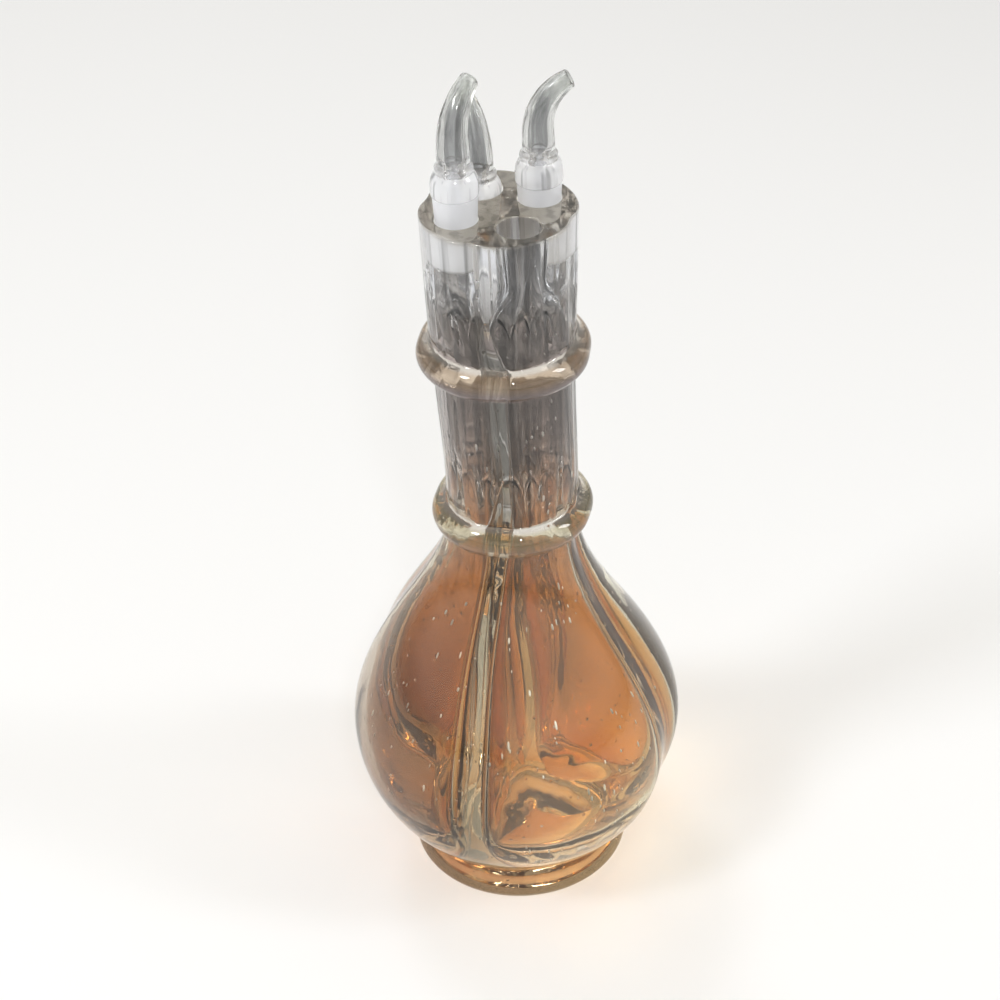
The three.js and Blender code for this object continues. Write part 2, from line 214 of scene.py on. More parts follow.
# %% [markdown]
# ## From arrays to a mesh
#
# Every surface below is a grid of points: rows along the piece and columns round it. The grids of one
# piece are gathered in a list that joins neighbouring rows with quads, closes the ends to a point and
# keeps each face's finish: clear, ground, cloudy, the wall of a small bubble, band or polished collar. A
# fourth channel beside the tint says how frosted a point is. Blender's own primitives could start such
# shapes, but none of them bends, tapers and hollows a wall in one go.

# %% Gathering grids
# the third slot is cloudy glass on the body and the polished collar on a spout
CLEAR, GROUND, CLOUDY, COLLAR, BUBBLE, BAND = 0, 1, 2, 2, 3, 4
WELD_DISTANCE = 1e-6


class Skin:
    """One closed surface: points in millimetres, faces, a finish for each face, a tint for each point."""

    def __init__(self):
        self.points, self.tints, self.frosts, self.faces, self.finishes = [], [], [], [], []
        self.count = self.first = self.width = 0

    def grid(self, rows, tints, finishes=CLEAR, frost=0.0, wrap=False):
        """Add rows of points that close on themselves; finishes is one number for each row of faces."""
        height, width = rows.shape[:2]
        lower = np.arange(height if wrap else height - 1)[:, None] * width
        upper = (lower + width) % (height * width)
        here = np.arange(width)[None, :]
        there = (here + 1) % width
        quads = np.stack([lower + here, lower + there, upper + there, upper + here], axis=-1)
        self.faces += (quads.reshape(-1, 4) + self.count).tolist()
        self.finishes.append(np.repeat(np.broadcast_to(finishes, len(lower)), width))
        self.points.append(rows.reshape(-1, 3))
        self.tints.append(np.broadcast_to(tints, rows.shape).reshape(-1, 3))
        self.frosts.append(np.broadcast_to(frost, (height, width)).reshape(-1))
        self.first, self.width = self.count, width
        self.count += height * width

    def close(self, point, tint, at_first_row=False, finish=CLEAR):
        """Join one end of the newest grid to a point."""
        ring = self.first if at_first_row else self.count - self.width
        here = np.arange(self.width)
        there = (here + 1) % self.width
        fan = np.stack([ring + here, ring + there, np.full(self.width, self.count)], axis=-1)
        self.faces += fan.tolist()
        self.finishes.append(np.full(self.width, finish))
        self.points.append(np.asarray(point, float)[None, :])
        self.tints.append(np.asarray(tint, float)[None, :])
        self.frosts.append(np.zeros(1))
        self.count += 1


print("finishes:", CLEAR, GROUND, CLOUDY, BUBBLE, BAND)


# %% From a skin to an object
def new_object(name, data):
    """An object of this mesh, lamp or camera in the scene."""
    thing = bpy.data.objects.new(name, data)
    bpy.context.scene.collection.objects.link(thing)
    return thing


def glass_object(name, skin):
    """A smooth closed mesh with the skin's finishes as material slots and its tints as an attribute."""
    mesh = bpy.data.meshes.new(name)
    mesh.from_pydata(np.vstack(skin.points) * MM, [], skin.faces)
    mesh.polygons.foreach_set("material_index", np.concatenate(skin.finishes).astype(np.int32))
    colours = np.column_stack([np.vstack(skin.tints), np.concatenate(skin.frosts)]).astype(np.float32)
    mesh.attributes.new("tint", "FLOAT_COLOR", "POINT").data.foreach_set("color", colours.reshape(-1))
    work = bmesh.new()
    work.from_mesh(mesh)
    bmesh.ops.remove_doubles(work, verts=work.verts, dist=WELD_DISTANCE)
    bmesh.ops.recalc_face_normals(work, faces=work.faces)
    # glass lies outside a bubble, so its faces look inwards
    bmesh.ops.reverse_faces(work, faces=[face for face in work.faces if face.material_index == BUBBLE])
    open_edges = sum(len(edge.link_faces) != 2 for edge in work.edges)
    work.to_mesh(mesh)
    work.free()
    mesh.shade_smooth()
    print(name, "faces:", len(mesh.polygons), "open edges:", open_edges)
    return new_object(name, mesh)


# %% [markdown]
# ## The outline of the body
#
# Turned on its axis, the body is a globe that runs up into a slender neck. Three cubic curves give its
# radius at each height. The neck bands are round rods that were wound on hot, so they melt into the
# neck with a small fillet above and below, and the foot does the same below the globe. The fillets are
# drawn in the outline itself, because glass shows every sharp crease as a dark line.


# %% Radius against height
def bezier(corners, count=160):
    """The cubic curve with these four corners, as count points."""
    a, b, c, d = np.asarray(corners, float)
    t = np.linspace(0, 1, count)[:, None]
    return (1 - t) ** 3 * a + 3 * (1 - t) ** 2 * t * b + 3 * (1 - t) * t**2 * c + t**3 * d


BOWL = bezier(
    [
        (WAIST_RADIUS, FOOT_HEIGHT),
        (mix(WAIST_RADIUS, BELLY_RADIUS, 0.5), mix(FOOT_HEIGHT, BELLY_HEIGHT, 0.2)),
        (BELLY_RADIUS, mix(FOOT_HEIGHT, BELLY_HEIGHT, 0.54)),
        (BELLY_RADIUS, BELLY_HEIGHT),
    ]
)
SHOULDER = bezier(
    [
        (BELLY_RADIUS, BELLY_HEIGHT),
        (BELLY_RADIUS, mix(BELLY_HEIGHT, SHOULDER_TOP, 0.37)),
        (mix(NECK_RADIUS, BELLY_RADIUS, 0.02), mix(BELLY_HEIGHT, SHOULDER_TOP, 0.68)),
        (NECK_RADIUS, SHOULDER_TOP),
    ]
)
NECK = bezier(
    [
        (NECK_RADIUS, SHOULDER_TOP),
        (NECK_RADIUS, mix(SHOULDER_TOP, NECK_TOP, 0.35)),
        (mix(NECK_RADIUS, TOP_RADIUS, 0.6), mix(SHOULDER_TOP, NECK_TOP, 0.6)),
        (TOP_RADIUS, NECK_TOP),
    ]
)
PROFILE = np.vstack([BOWL, SHOULDER[1:], NECK[1:]])


def radius_at(height):
    """Radius of the plain profile, read off the three curves."""
    return np.interp(height, PROFILE[:, 1], PROFILE[:, 0])


def arc(centre, radius, start, end, count=24):
    """Points on a circle from one angle to another, in degrees."""
    angle = np.radians(np.linspace(start, end, count))
    return np.stack([centre[0] + radius * np.cos(angle), centre[1] + radius * np.sin(angle)], axis=1)


print("neck radius half-way up:", round(float(radius_at(218)), 2), "mm")

# %% Bands and foot in the outline
BAND_FILLET, TOP_EDGE, FOOT_JOIN = 1.3, 0.8, 16.5
FILLET_POINTS, ROD_POINTS, EDGE_POINTS = 12, 60, 14
# the foot's waist stands out from the globe's, and its hollow side ends at this height
WAIST_OUT, WAIST_HEIGHT = 0.5, 11.0


def band_outline(height):
    """A fillet off the neck, the round rod, and a fillet back on."""
    middle = radius_at(height) - BAND_SUNK
    pieces = []
    for side in (-1, 1):
        skin = radius_at(height + side * BAND_ROD)
        out = skin + BAND_FILLET - middle
        rise = np.sqrt((BAND_ROD + BAND_FILLET) ** 2 - out**2)
        meet = np.degrees(np.arctan2(rise, -out))
        centre = (skin + BAND_FILLET, height + side * rise)
        fillet = arc(centre, BAND_FILLET, 180 if side < 0 else -180, -side * meet, FILLET_POINTS)
        pieces.append(fillet if side < 0 else fillet[::-1])
    pieces.insert(1, arc((middle, height), BAND_ROD, meet - 180, 180 - meet, ROD_POINTS))
    return np.vstack(pieces)


def foot_outline():
    """The rounded lower edge, the hollow side of the foot, and a fillet on to the globe."""
    edge = arc((FOOT_RADIUS - FOOT_EDGE, FOOT_EDGE), FOOT_EDGE, -90, 0, EDGE_POINTS)
    waist, joined = WAIST_RADIUS + WAIST_OUT, float(radius_at(FOOT_JOIN))
    side = bezier([(FOOT_RADIUS, FOOT_EDGE), (FOOT_RADIUS, 6.5), (waist, 7.0), (waist, WAIST_HEIGHT)], 40)
    fillet = bezier([(waist, WAIST_HEIGHT), (waist, 13.0), (joined - 1.3, 15.0), (joined, FOOT_JOIN)], 20)
    return np.vstack([edge, side, fillet])


print("upper band starts at radius", round(float(band_outline(BAND_HEIGHTS[1])[0, 0]), 2), "mm")


# %% The whole outline, closer together where it turns
OUTLINE_STEP, OUTLINE_GAP = 0.4, 0.3
# how much closer the points are at the bands, the top edge and the foot, and how far that reaches
BAND_CROWD, EDGE_CROWD, FOOT_CROWD = (4, 9), (6, 1.5), (3, 9)
FOOT_MIDDLE = 8


def resample(line, count, extra):
    """The line again with count points, closer together where extra (one value a point) is high."""
    step = np.linalg.norm(np.diff(line, axis=0), axis=1) * (1 + (extra[1:] + extra[:-1]) / 2)
    along = np.concatenate([[0], np.cumsum(step)])
    even = np.linspace(0, along[-1], count)
    return np.stack([np.interp(even, along, line[:, axis]) for axis in (0, 1)], axis=1)


def near_bands(height, reach, power=4):
    """1 at a neck band, 0 a little way from it."""
    return sum(bell(height, band, reach, power) for band in BAND_HEIGHTS)


def plain_line(low, high):
    """The plain profile between two heights."""
    heights = np.arange(low, high, OUTLINE_STEP)
    return np.stack([radius_at(heights), heights], axis=1)


def body_outline(count=240):
    """Foot, globe, neck with both bands, and the polished top edge."""
    lines = [foot_outline()]
    start = FOOT_JOIN + OUTLINE_GAP
    for height in BAND_HEIGHTS:
        band = band_outline(height)
        lines += [plain_line(start, band[0, 1]), band]
        start = band[-1, 1] + OUTLINE_GAP
    lines.append(plain_line(start, NECK_TOP - TOP_EDGE))
    rim = float(radius_at(NECK_TOP - TOP_EDGE))
    lines.append(arc((rim - TOP_EDGE, NECK_TOP - TOP_EDGE), TOP_EDGE, 0, 90, 10))
    line = np.vstack(lines)
    height = line[:, 1]
    at_edge = bell(height, NECK_TOP, EDGE_CROWD[1]) * EDGE_CROWD[0]
    at_foot = bell(height, FOOT_MIDDLE, FOOT_CROWD[1], 4) * FOOT_CROWD[0]
    return resample(line, count, near_bands(height, BAND_CROWD[1]) * BAND_CROWD[0] + at_edge + at_foot)


outline = body_outline()
print("outline points:", len(outline), "lowest and highest:", outline[0], outline[-1])

# %% [markdown]
# ## Four lobes, and a lean
#
# Where two chambers touch, the outer skin dips in a soft groove from the foot to the mouth. The groove
# is a bell-shaped loss of radius at four angles. It fades towards the foot, which is a plain round disc,
# and under the bands, which were wound over it. A tenth of a millimetre of wobble, different at each
# height, keeps the skin from looking turned on a lathe. The shoulder also leans a little to the left and
# the neck above it to the right, and on their way up the webs drift 11 degrees round the axis and back,
# as soft glass does while its iron is turned.

# %% Grooves, wobble, lean and twist
GROOVE_DEPTH, GROOVE_WIDTH, GROOVE_RISE = 0.05, np.radians(11), 30
# the share of a groove that a band hides, and how far up and down
BAND_HIDES, HIDING_REACH = 0.7, 7
WOBBLE, WOBBLE_HEIGHTS, WOBBLE_RISE = 0.12, (31, 47), (14, 40)
# how far to the right in millimetres, at what height, how far up and down it reaches
LEANS = [(-1.9, 112.0, 28.0), (1.5, 172.0, 34.0)]
# how far round in degrees, from what height to what height
TWISTS = [(3.6, 40.0, 150.0), (7.9, 150.0, 180.0), (-11.5, 222.0, 253.0)]
ARC_STEPS = 46


def lobed(radius, height, angle):
    """Radius with the grooves and the wobble; the angle is measured from one wall between chambers."""
    share = smooth(FOOT_HEIGHT, FOOT_HEIGHT + GROOVE_RISE, height)
    share = share * (1 - BAND_HIDES * near_bands(height, HIDING_REACH))
    dip = GROOVE_DEPTH * bell(from_web(angle), 0, GROOVE_WIDTH) * share
    up, down = WOBBLE_HEIGHTS
    wave = np.sin(3 * angle + height / up) + np.sin(2 * angle - height / down)
    return radius * (1 - dip) - WOBBLE * (1 + wave / 2) * smooth(*WOBBLE_RISE, height)


def turn_about_axis(points, angle):
    """The points turned round +Z."""
    c, s = np.cos(angle), np.sin(angle)
    x, y = points[..., 0], points[..., 1]
    return np.stack([x * c - y * s, x * s + y * c, points[..., 2]], axis=-1)


def drawn_soft(points):
    """The points turned by smooth steps of their height, then moved sideways by two bell curves of it."""
    height = points[..., 2]
    twist = sum(turn * smooth(low, high, height) for turn, low, high in TWISTS)
    points = turn_about_axis(points, np.radians(twist))
    shift = sum(lean * bell(height, middle, reach) for lean, middle, reach in LEANS)
    return points + np.stack([shift, 0 * shift, 0 * shift], axis=-1)


# the columns crowd towards the grooves
quarter_angles = QUARTER / 2 * (1 - np.cos(np.pi * np.arange(ARC_STEPS) / ARC_STEPS))
angles = np.concatenate([quarter_angles + QUARTER * turn for turn in range(4)])
print("columns round the body:", len(angles))

# %% [markdown]
# ## The chambers
#
# A chamber is what the blower's breath left inside one gather. Across the globe it is a quarter round
# with soft corners, it narrows with the shoulder into a tube, and near the top it turns round, where the
# mouth was ground to take a plug. At each height the wall is found by looking out from the middle of the
# chamber in many directions and taking a power mean of the distances to the two webs and the outer wall:
# the mean is close to the nearest of the three and rounds the corners between them. Where a band was
# wound on, it pinched the soft tube, and above it the wall lies in folds, as cloth does at a drawstring.
# Low in the globe the wall is finely crinkled.

# %% The inside of one chamber
CORNER_SHARPNESS = 5
SEAT_PAST_PLUG, SEAT_TO_NECK = 2.0, 16.0
BORE_PINCH, PINCH_LENGTH = 1.1, 8.0
FOLDS, FOLD_SWING, FOLD_DEPTH, FOLD_RISE, FOLD_REACH = 10, 2, 0.8, 19.0, 6.0
CRINKLES, CRINKLE_SWING, CRINKLE_LEAN = 13, 3, 9
CRINKLE_DEPTH, CRINKLE_HEIGHT, CRINKLE_REACH = 0.45, 33.0, 8.0
SEAT_PLAY, MOUTH_BEVEL = 0.25, 0.6
SEAT_ROWS, TURN_ROWS, DOWN_ROWS, DOME_ROWS = 14, 12, 74, 24
FOLD_CROWD, FOLD_CROWD_REACH, FINE_STEPS = 3.5, 7, 400
TINY, HUGE = 1e-6, 1e6


def seat_end_height(shows):
    """Where the ground seat of a mouth ends."""
    return NECK_TOP - (PLUG_LENGTH - shows) - SEAT_PAST_PLUG


def seat_radius(depth):
    """Radius of the ground seat at a depth below the collar's underside, with its step for the collar."""
    plug = PLUG_RADIUS - PLUG_TAPER * depth
    step = mix(PLUG_RADIUS, COLLAR_RADIUS, np.clip(-depth / COLLAR_STEP, 0, 1))
    return np.where(depth > 0, plug, step) + SEAT_PLAY


def chamber_reach(direction, middle, web, outer):
    """Power mean of the distances from the chamber's middle to its two webs and its outer wall."""
    c, s = np.cos(direction), np.sin(direction)
    along = middle * (c + s)
    to_wall = -along + np.sqrt(along**2 + outer**2 - 2 * middle**2)
    to_side, to_other = [
        np.divide(web - middle, side, out=np.full_like(c, HUGE), where=side < -TINY) for side in (c, s)
    ]
    total = sum(np.maximum(d, TINY) ** -CORNER_SHARPNESS for d in (to_wall, to_side, to_other))
    return total ** (-1 / CORNER_SHARPNESS)


def chamber_rows(heights, directions, shows):
    """Points of the chamber's wall, one row a height, in the quarter where x and y are positive."""
    height = heights[:, None] + 0 * directions[None, :]
    direction = directions[None, :] + 0 * height
    rounded = smooth(seat_end_height(shows) - SEAT_TO_NECK, seat_end_height(shows), height)
    up_neck = smooth(BELLY_HEIGHT, SHOULDER_TOP, height)
    outer = radius_at(height) - mix(WALL, NECK_WALL, up_neck)
    web = mix(BELLY_WEB, NECK_WEB, up_neck) / 2
    middle = mix((np.sqrt(2) * web + outer) / 2, MOUTH_OFFSET, rounded) / np.sqrt(2)
    below = np.clip((CHAMBER_FLOOR + DOME_HEIGHT - height) / DOME_HEIGHT, 0, 1)
    folds = np.cos(FOLDS * direction + FOLD_SWING * np.cos(2 * direction))
    pinch = BORE_PINCH * near_bands(height, PINCH_LENGTH, 2)
    pinch = pinch + FOLD_DEPTH * folds * near_bands(height - FOLD_RISE, FOLD_REACH, 2)
    crinkles = np.cos(CRINKLES * direction + CRINKLE_SWING * np.cos(2 * direction + height / CRINKLE_LEAN))
    pinch = pinch + CRINKLE_DEPTH * crinkles * bell(height, CRINKLE_HEIGHT, CRINKLE_REACH)
    free = chamber_reach(direction, middle, web, outer) * np.sqrt(1 - below**2) - pinch
    seat = seat_radius(shows + NECK_TOP - np.maximum(height, seat_end_height(shows)))
    reach = mix(free, seat, rounded)
    return np.stack([middle + reach * np.cos(direction), middle + reach * np.sin(direction), height], axis=-1)


def crowded(top, bottom, count):
    """Heights from top to bottom, closer together where the folds are."""
    line = np.linspace(top, bottom, FINE_STEPS)
    crowd = 1 + FOLD_CROWD * near_bands(line - FOLD_RISE, FOLD_CROWD_REACH)
    along = np.concatenate([[0], np.cumsum(crowd[1:] + crowd[:-1])])
    return np.interp(np.linspace(0, along[-1], count), along, line)


def chamber_heights(shows):
    """Rows from the mouth to the floor, closer where the wall turns."""
    end, top, dome_top = seat_end_height(shows), NECK_TOP - MOUTH_BEVEL, CHAMBER_FLOOR + DOME_HEIGHT
    seat = np.linspace(top, end, SEAT_ROWS)
    if shows < 0:
        step = NECK_TOP + shows
        seat = np.concatenate([[top, step + COLLAR_STEP], np.linspace(step, end, SEAT_ROWS - 2)])
    turn = np.linspace(end, end - SEAT_TO_NECK, TURN_ROWS)[1:]
    down = crowded(end - SEAT_TO_NECK, dome_top, DOWN_ROWS)[1:]
    dome = dome_top - DOME_HEIGHT * np.sin(np.linspace(0, np.pi / 2, DOME_ROWS))[1:-1]
    return np.concatenate([seat, turn, down, dome])


print("rows in a chamber:", len(chamber_heights(6.0)))

# %% [markdown]
# ## One skin of fused glass
#
# On the real decanter the chambers, the bands and the foot are one piece of glass: light passes from one
# to the next without meeting a surface. Separate closed pieces would show a bright seam at every gap, so
# the outside, the flat top and the four chamber walls are made as one closed skin. Each quarter of the
# top is a grid too: its outer loop runs along the rim and in and out along two straight lines to the
# axis, and its inner loop is the mouth. Neighbouring quarters share their straight lines.


# %% The outside and the kick-up
KICK_UP_ROUND, KICK_UP_ROWS, KICK_UP_HUB = 1.4, 14, 1.5


def kick_up_rows():
    """The underside from its edge in: the flat resting ring, then a shallow dome."""
    ring = FOOT_RADIUS - FOOT_EDGE - RESTING_RING
    flat = [FOOT_RADIUS - FOOT_EDGE, ring + 2, ring]
    radius = np.concatenate([flat, np.linspace(ring - 0.7, KICK_UP_HUB, KICK_UP_ROWS)])
    return np.stack([radius, KICK_UP * (1 - np.clip(radius / ring, 0, 1) ** 2) ** KICK_UP_ROUND], axis=1)


def outside_tints(height, angle):
    """The outer skin's colours: grey-green where a web ends in it, and on a band its colour, painted shade
    and painted highlights.
    """
    at_web = bell(from_web(angle), 0, WEB_TINT_WIDTH)
    above_foot = smooth(FOOT_HEIGHT, FOOT_HEIGHT + WEB_TINT_RISE, height)
    web = at_web * above_foot * smooth(*WEB_TINT_CHANGE[::-1], height)
    tint = mix(tint_at(OUTER_TINTS, height), tint_at(WEB_TINTS, height), web[..., None])
    web = at_web * (smooth(*WEB_TINT_CHANGE, height) * smooth(*NECK_WEB_END, height))
    tint = mix(tint, NECK_WEB_TINT, web[..., None])
    for band, (below, above) in zip(BAND_HEIGHTS, BAND_TINTS_AND_PAINTED_SHADE):
        away = np.abs(height - band)[..., None]
        above_middle = smooth(band - BAND_TINT_SPLIT, band + BAND_TINT_SPLIT, height)[..., None]
        colour = mix(below, above, above_middle)
        # painted highlight lines along the band's lower and upper edges
        edge = mix(*PAINTED_BAND_EDGE_TINTS, above_middle)
        colour = mix(colour, edge, smooth(*PAINTED_BAND_EDGE, away))
        tint = mix(tint, colour, smooth(BAND_ROD + BAND_TINT_FADE, BAND_ROD, away))
    return tint


def outside_finishes(heights):
    """Band for the rows of the bands, cloudy for those of the top edge, clear for the rest."""
    off_bands = np.where(heights > NECK_TOP - TOP_EDGE, CLOUDY, CLEAR)
    return np.where(away_from_bands(heights) < BAND_ROD, BAND, off_bands)


def add_outside(skin):
    """Rings of the outline from the kick-up to the top edge."""
    line = np.vstack([kick_up_rows()[:0:-1], outline])
    radius = lobed(line[:, :1], line[:, 1:], angles[None, :])
    around = angles[None, :] + TURNED
    rows = np.stack([radius * np.cos(around), radius * np.sin(around), line[:, 1:] + 0 * radius], axis=-1)
    # painted shading across the sides
    tints = with_painted_side_shading(outside_tints(rows[..., 2], angles[None, :]), rows)
    # painted shade and painted light in two soft patches of the outer skin
    for (across, up), (reach_across, reach_up), takes in PAINTED_PATCHES:
        away = ((rows[..., 0] - across) / reach_across) ** 2 + ((rows[..., 2] - up) / reach_up) ** 2
        tints = np.clip(tints * (1 - np.exp(-away)[..., None] * np.array(takes)), 0, 1)
    skin.grid(drawn_soft(rows), tints, outside_finishes((line[1:, 1] + line[:-1, 1]) / 2))
    skin.close((0, 0, kick_up_rows()[-1, 1]), OUTER_TINTS[1][1:], at_first_row=True)


print("underside rises", KICK_UP, "mm inside the resting ring")


# %% The flat top and a chamber
SPOKE_MIDDLE, TOP_SHARES, BEVEL_ANGLES = 0.4, (0, 0.03, 0.35, 0.7, 0.97), np.radians([90, 65, 40, 15])
HAIR = 0.1


def spoke(reach, sides=15):
    """Distances from the axis along a line between two quarters, from near the rim in to 0."""
    middle = reach * SPOKE_MIDDLE
    widest = np.arctan((reach - middle) / middle)
    return middle + middle * np.tan(mix(widest, -np.pi / 4, np.arange(1, sides + 1) / sides))


def quarter_loop(rim):
    """The rim's points, then in along x = 0 to the axis and out along y = 0."""
    inward, outward = spoke(rim[-1, 1]), spoke(rim[0, 0])
    inwards = np.stack([0 * inward, inward], axis=1)
    outwards = np.stack([outward[-2::-1], 0 * outward[1:]], axis=1)
    return np.vstack([rim, inwards, outwards])


def top_rows(loop, mouth):
    """The flat top from its outer loop in to the mouth, then the mouth's rounded edge."""
    middle = MOUTH_OFFSET / np.sqrt(2)
    unit = (mouth - middle) / np.linalg.norm(mouth - middle, axis=1, keepdims=True)
    edge = [mouth + unit * MOUTH_BEVEL * (1 - np.cos(a)) for a in BEVEL_ANGLES]
    rows = [mix(loop, edge[0], share) for share in TOP_SHARES] + edge
    heights = NECK_TOP - np.append(0 * np.array(TOP_SHARES), MOUTH_BEVEL * (1 - np.sin(BEVEL_ANGLES)))
    return np.array([np.column_stack([row, np.full(len(row), height)]) for row, height in zip(rows, heights)])


def add_chamber(skin, turn, shows, has_spout):
    """One quarter of the top, its mouth, and the chamber below it."""
    own = np.append(angles[turn * ARC_STEPS : (turn + 1) * ARC_STEPS], QUARTER * (turn + 1))
    rim_radius = lobed(outline[-1, 0], outline[-1, 1], own)
    local = own - QUARTER * turn
    rim = np.stack([rim_radius * np.cos(local), rim_radius * np.sin(local)], axis=1)
    rim[0, 1] = rim[-1, 0] = 0
    loop = quarter_loop(rim)
    middle = MOUTH_OFFSET / np.sqrt(2)
    directions = np.arctan2(loop[:, 1] - middle, loop[:, 0] - middle)
    heights = chamber_heights(shows)
    wall = chamber_rows(heights, directions, shows)
    top = top_rows(loop, wall[0, :, :2])
    ground = has_spout & (heights[1:] > seat_end_height(shows) - HAIR)
    finishes = np.concatenate([np.full(len(top), CLOUDY), np.where(ground, GROUND, CLEAR)])
    facing = TURNED + QUARTER * turn
    rows = turn_about_axis(np.concatenate([top, wall]), facing)
    # painted shading across the sides
    tints = with_painted_side_shading(tint_at(CHAMBER_TINTS, rows[..., 2]), rows)
    tints[: len(top)] = TOP_TINT
    if has_spout:
        tints[len(top) : len(top) + ground.sum()] = SEAT_TINT
    skin.grid(drawn_soft(rows), tints, finishes)
    floor = np.append(wall[-1, :, :2].mean(axis=0), CHAMBER_FLOOR)
    skin.close(turn_about_axis(floor, facing), CHAMBER_TINTS[0][1:])


print("mouth bevel:", MOUTH_BEVEL, "mm")

# %% [markdown]
# ## Seeds
#
# Old glass holds seeds, small bubbles that never rose out of the melt. They lie in loose swarms, and
# drawing the gather out stretches them along the wall. Each is a closed shell of a few faces between the
# skin and the chambers. A bump texture would be cheaper, but it only dents the skin, and a seed catches
# the light from inside.

# %% Bubbles in the wall
# the seeds are bubbles in shape, but their near-white, nearly opaque walls are painted highlights that stand
# in for the glint of an air bubble; their shades differ at random
BUBBLE_COUNT, BUBBLE_SWARMS, BUBBLE_TINT = 380, 70, (1.0, 0.99, 0.95)
GLOBE_SHARE, GLOBE_SWARMS, NECK_SWARMS, BUBBLE_LIMITS = 0.8, (24, 140), (170, 250), (20, 252)
SWARM_HEIGHT, SWARM_TURN, BAND_CLEARANCE = 7, 0.16, 9
BUBBLE_INSET, BUBBLE_WIDTH, BUBBLE_WIDEST = (0.8, 2.0), 0.16, 3
BUBBLE_STRETCH, BUBBLE_SHADES, BUBBLE_ROWS, BUBBLE_COLUMNS = (1.2, 4.2), (0.35, 1.0), 7, 6


def add_bubbles(skin, count):
    """Balls stretched along the outline: width times a unit circle, length times a height from -1 to 1."""
    draw = np.random.default_rng(7)
    on_globe = draw.random(BUBBLE_SWARMS) < GLOBE_SHARE
    low, high = [draw.uniform(*reach, BUBBLE_SWARMS) for reach in (GLOBE_SWARMS, NECK_SWARMS)]
    swarm_height = np.where(on_globe, low, high)
    swarm_turn = draw.uniform(0, 2 * np.pi, BUBBLE_SWARMS)
    swarm = draw.integers(0, BUBBLE_SWARMS, count)
    height = np.clip(swarm_height[swarm] + SWARM_HEIGHT * draw.standard_normal(count), *BUBBLE_LIMITS)
    turn = swarm_turn[swarm] + SWARM_TURN * draw.standard_normal(count)
    inset = draw.uniform(*BUBBLE_INSET, count)
    width = BUBBLE_WIDTH * BUBBLE_WIDEST ** draw.random(count)[:, None, None]
    length = width * draw.uniform(*BUBBLE_STRETCH, count)[:, None, None]
    middle = lobed(radius_at(height), height, turn - TURNED) - inset
    slope = radius_at(height + 0.5) - radius_at(height - 0.5)
    columns = np.arange(BUBBLE_COLUMNS) * 2 * np.pi / BUBBLE_COLUMNS
    level, around = np.meshgrid(np.linspace(-1, 1, BUBBLE_ROWS), columns, indexing="ij")
    out, rise = width * np.sqrt(1 - level**2), length * level
    x = middle[:, None, None] + out * np.cos(around) + slope[:, None, None] * rise
    shells = np.stack([x, out * np.sin(around), height[:, None, None] + rise], axis=-1)
    shells = drawn_soft(turn_about_axis(shells, turn[:, None, None]))
    clear_of_bands = away_from_bands(height) > BAND_CLEARANCE
    tints = draw.uniform(*BUBBLE_SHADES, count)[:, None] * np.array(BUBBLE_TINT)
    for shell, tint in zip(shells[clear_of_bands], tints[clear_of_bands]):
        skin.grid(shell[1:-1], tint, BUBBLE)
        skin.close(shell[-1, 0], tint, finish=BUBBLE)
        skin.close(shell[0, 0], tint, at_first_row=True, finish=BUBBLE)


print("bubbles:", BUBBLE_COUNT)

# %% Build the body
body_skin = Skin()
add_outside(body_skin)
for name, turn, shows, pointing in CHAMBERS:
    add_chamber(body_skin, turn, shows, pointing is not None)
add_bubbles(body_skin, BUBBLE_COUNT)
body = glass_object("glass_body", body_skin)

# %% [markdown]
# ## The pouring spouts
#
# A spout is a ground plug, a clear collar and a horn, drawn from one piece of tube. Its middle line runs
# straight up and then round a bend, and a profile of radius against distance is carried along that line.
# The channel is the same profile idea from the tip back down, so the wall closes on itself like a ring.
# A curve object with a bevel would be quicker, but it can't change its wall or end in a rounded lip.

# %% Spout sizes
HORN_ROOT, HORN_TIP, HORN_STRAIGHT = 5.5, 3.2, 8.0
BEND_RADIUS, HORN_BEND = 20.0, np.radians(60)
CHANNEL_RADIUS, HORN_BORE = 2.1, 0.55
BEND_START = COLLAR_HEIGHT + HORN_STRAIGHT
HORN_END = BEND_START + BEND_RADIUS * HORN_BEND
# STREAK_DEPTH and STREAK_START: how dark the painted shade of the streaks in the bore is, and where it starts
COLLAR_BULGE_TOP, FROSTED_TIP, STREAK_DEPTH = 8.2, 15.0, 0.75
HORN_TAPER, COLLAR_TINT_START, HORN_TINT_START, STREAK_START = 1.6, (0, 0.6), (8, 12), (9, 13)
SPOUT_ANGLES = np.linspace(0, 2 * np.pi, 56, endpoint=False)[None, :]


def horn_radius(along):
    """Radius of the horn at a distance along the middle line."""
    share = np.clip((along - COLLAR_HEIGHT) / (HORN_END - COLLAR_HEIGHT), 0, 1)
    return mix(HORN_ROOT, HORN_TIP, share**HORN_TAPER)


print("spout length along its middle:", round(float(HORN_END + PLUG_LENGTH), 1), "mm")


